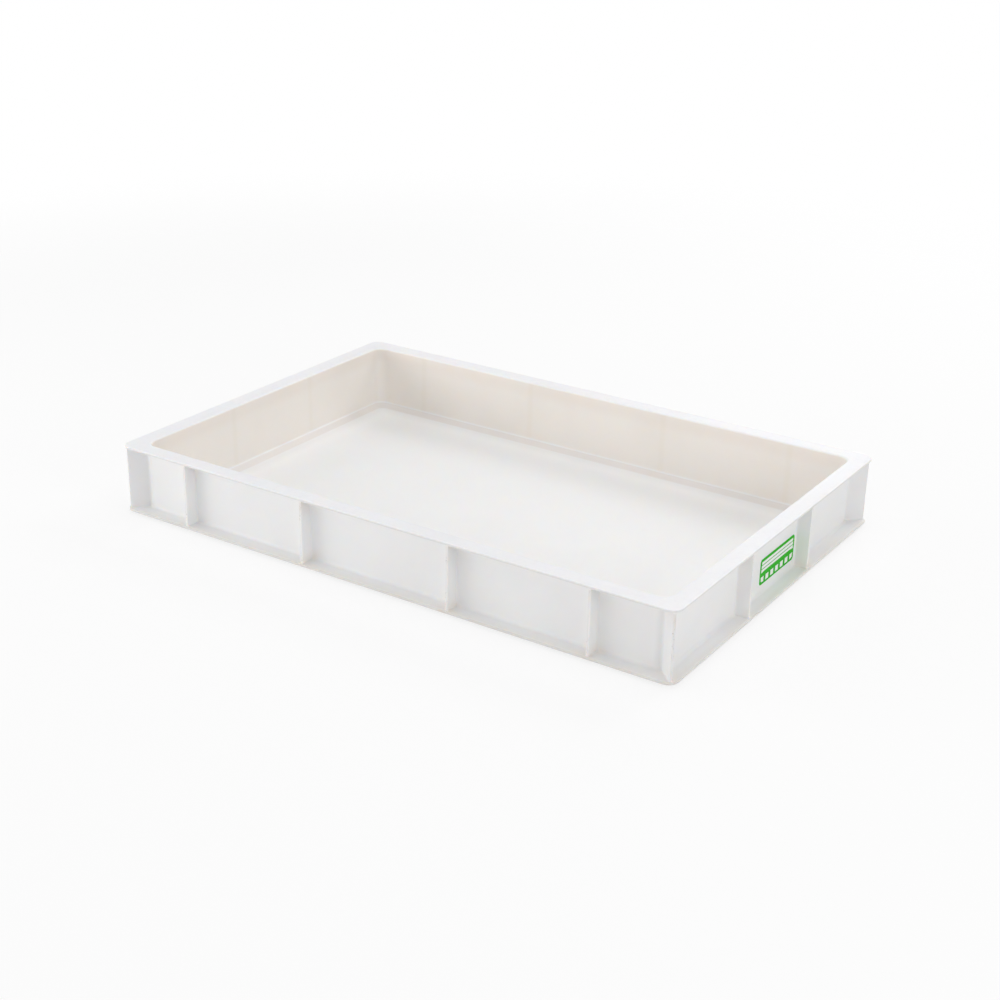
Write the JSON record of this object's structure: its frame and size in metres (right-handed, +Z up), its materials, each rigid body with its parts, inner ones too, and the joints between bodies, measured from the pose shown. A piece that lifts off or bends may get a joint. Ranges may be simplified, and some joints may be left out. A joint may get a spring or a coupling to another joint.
{
  "type": "dough proofing tray",
  "caption": "Shallow open stacking tray of white plastic for resting dough, with a flat rim, ribbed recessed sides, a bottom flange, a stacking foot and a stuck-on label.",
  "frame": {"origin": "middle of the underside of the stacking foot", "axes": "+X along the long sides towards the end with the label, +Y along the short sides, +Z up out of the mouth"},
  "size_m": [0.6, 0.4, 0.07],
  "materials": {
    "white_polyethylene": "natural white moulded polyethylene, satin, slightly see-through in thin places, lightly scuffed",
    "label_film": "smooth printed film, green ground with plain white fields"
  },
  "bodies": {
    "root": {"tray": "white_polyethylene", "label": "label_film"}
  },
  "joints": []
}
